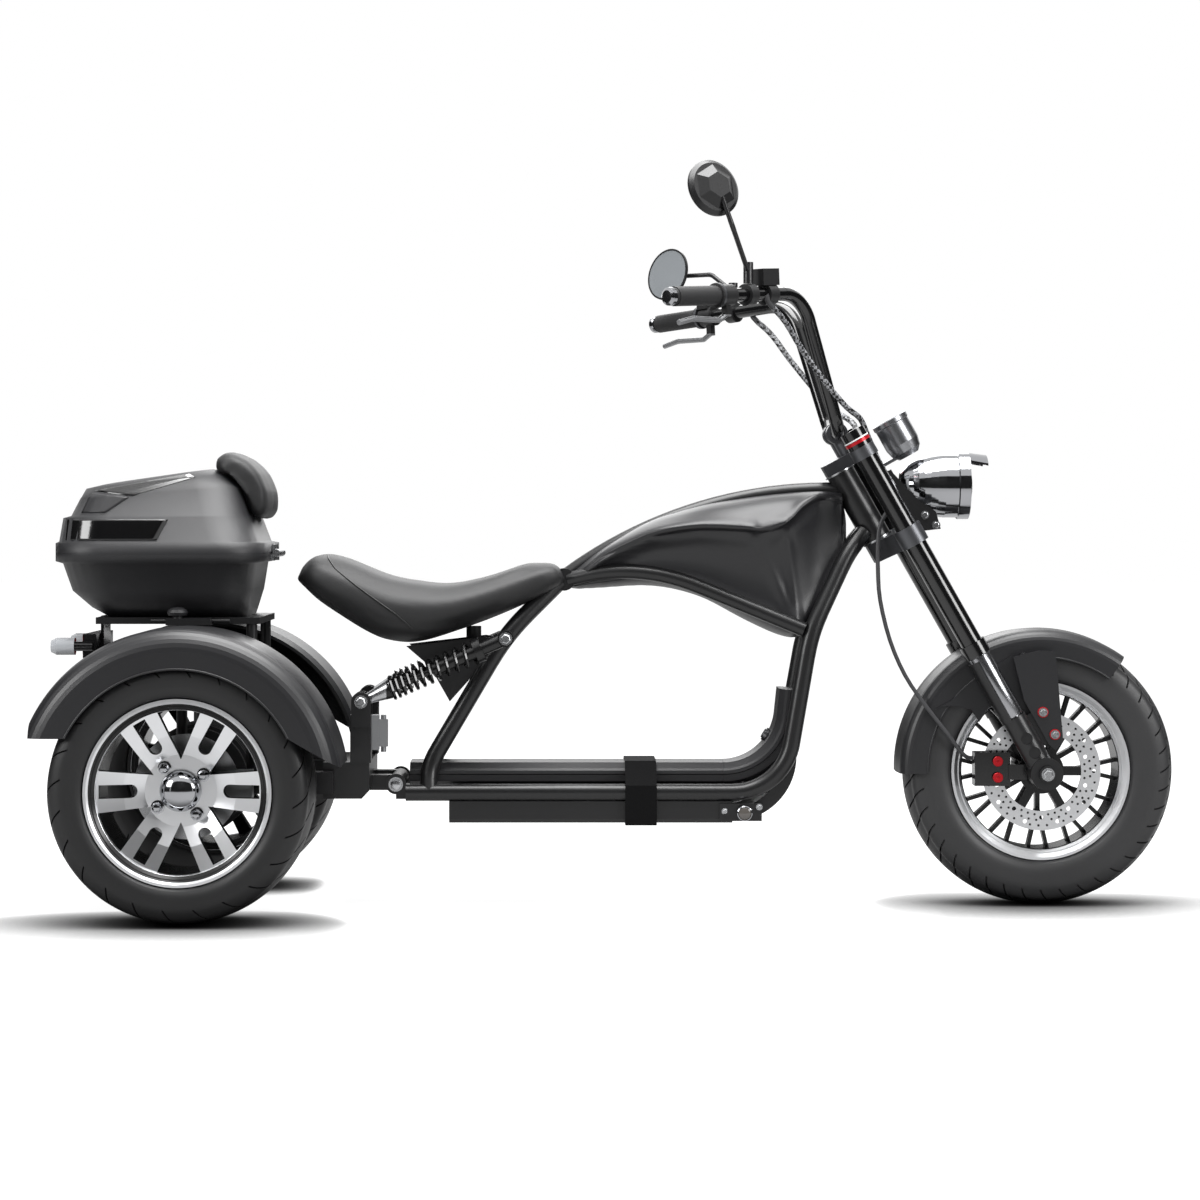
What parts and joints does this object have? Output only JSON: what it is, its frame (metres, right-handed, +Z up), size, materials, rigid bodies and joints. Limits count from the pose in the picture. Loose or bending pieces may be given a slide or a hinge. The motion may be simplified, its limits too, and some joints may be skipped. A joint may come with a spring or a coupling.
{
  "type": "electric tricycle",
  "caption": "Chopper-style electric tricycle with a raked fork, high bars, low padded seat, flat footboard, wide slotted rear wheels and a luggage case behind the seat.",
  "frame": {"origin": "on the ground at the middle of the bounding box", "axes": "+X to the front, +Y to the left side of the vehicle, +Z up"},
  "size_m": [2.081, 0.8044, 1.3572],
  "materials": {
    "frame_paint": "satin black paint",
    "panel": "satin black moulding",
    "case_shell": "matt black moulding",
    "black_metal": "gloss black paint",
    "chrome": "polished",
    "polished_alloy": "polished",
    "grey_alloy": "satin",
    "steel": "satin",
    "seat_cover": "smooth black cover",
    "rubber": "matt",
    "tyre": "matt",
    "clear_glass": "clear",
    "lamp_plastic": "smoked lens",
    "red_lens": "red lens",
    "mirror_glass": "silvered"
  },
  "bodies": {
    "frame": {"frame_tubes": "frame_paint", "body_shell": "panel", "footboard": "panel", "leg_guard": "panel", "battery_case": "frame_paint", "battery_strap": "rubber", "side_lamps": "lamp_plastic", "charge_socket": "grey_alloy", "seat_cushion": "seat_cover", "seat_bracket": "frame_paint", "shock_dampers": "grey_alloy", "shock_springs": "black_metal", "swing_arm": "frame_paint", "drive_axle": "grey_alloy", "rear_calipers": "grey_alloy", "rear_fender_left": "panel", "rear_fender_right": "panel", "rear_rack": "frame_paint", "tail_lamp": "red_lens", "rear_indicators": "clear_glass", "case_tub": "case_shell", "case_hinge": "steel"},
    "case_lid": {"lid_shell": "case_shell", "lid_backrest": "seat_cover", "lid_knuckle": "steel"},
    "steering": {"fork_clamps": "grey_alloy", "fork_tubes": "black_metal", "fork_sliders": "chrome", "fork_castings": "frame_paint", "front_fender": "panel", "front_caliper": "black_metal", "headlamp_bucket": "chrome", "headlamp_lens": "clear_glass", "headlamp_bracket": "frame_paint", "gauge": "chrome", "handlebar": "black_metal", "grips": "rubber", "hand_controls": "black_metal", "mirror_heads": "black_metal", "mirror_glasses": "mirror_glass", "brake_hose": "rubber", "cable_loom": "rubber"},
    "front_wheel": {"front_rim": "black_metal", "front_tyre": "tyre", "front_disc": "steel"},
    "rear_wheel_left": {"rear_rim_left": "polished_alloy", "rear_tyre_left": "tyre", "rear_disc_left": "steel"},
    "rear_wheel_right": {"rear_rim_right": "polished_alloy", "rear_tyre_right": "tyre", "rear_disc_right": "steel"}
  },
  "joints": [
    {"name": "steering", "type": "hinge", "parent": "frame", "child": "steering", "pos_m": [0.4553, 0, 0.74637], "axis": [-0.4924, 0, 0.8704], "range_deg": [-38, 38]},
    {"name": "front_wheel_spin", "type": "hinge", "parent": "steering", "child": "front_wheel", "pos_m": [0.789, 0, 0.252], "axis": [0, 1, 0], "continuous": true},
    {"name": "rear_wheel_left_spin", "type": "hinge", "parent": "frame", "child": "rear_wheel_left", "pos_m": [-0.778, 0.287, 0.238], "axis": [0, 1, 0], "continuous": true},
    {"name": "rear_wheel_right_spin", "type": "hinge", "parent": "frame", "child": "rear_wheel_right", "pos_m": [-0.778, -0.287, 0.238], "axis": [0, 1, 0], "continuous": true},
    {"name": "case_lid", "type": "hinge", "parent": "frame", "child": "case_lid", "pos_m": [-0.632, 0, 0.657], "axis": [0, 1, 0], "range_deg": [0, 70]}
  ]
}
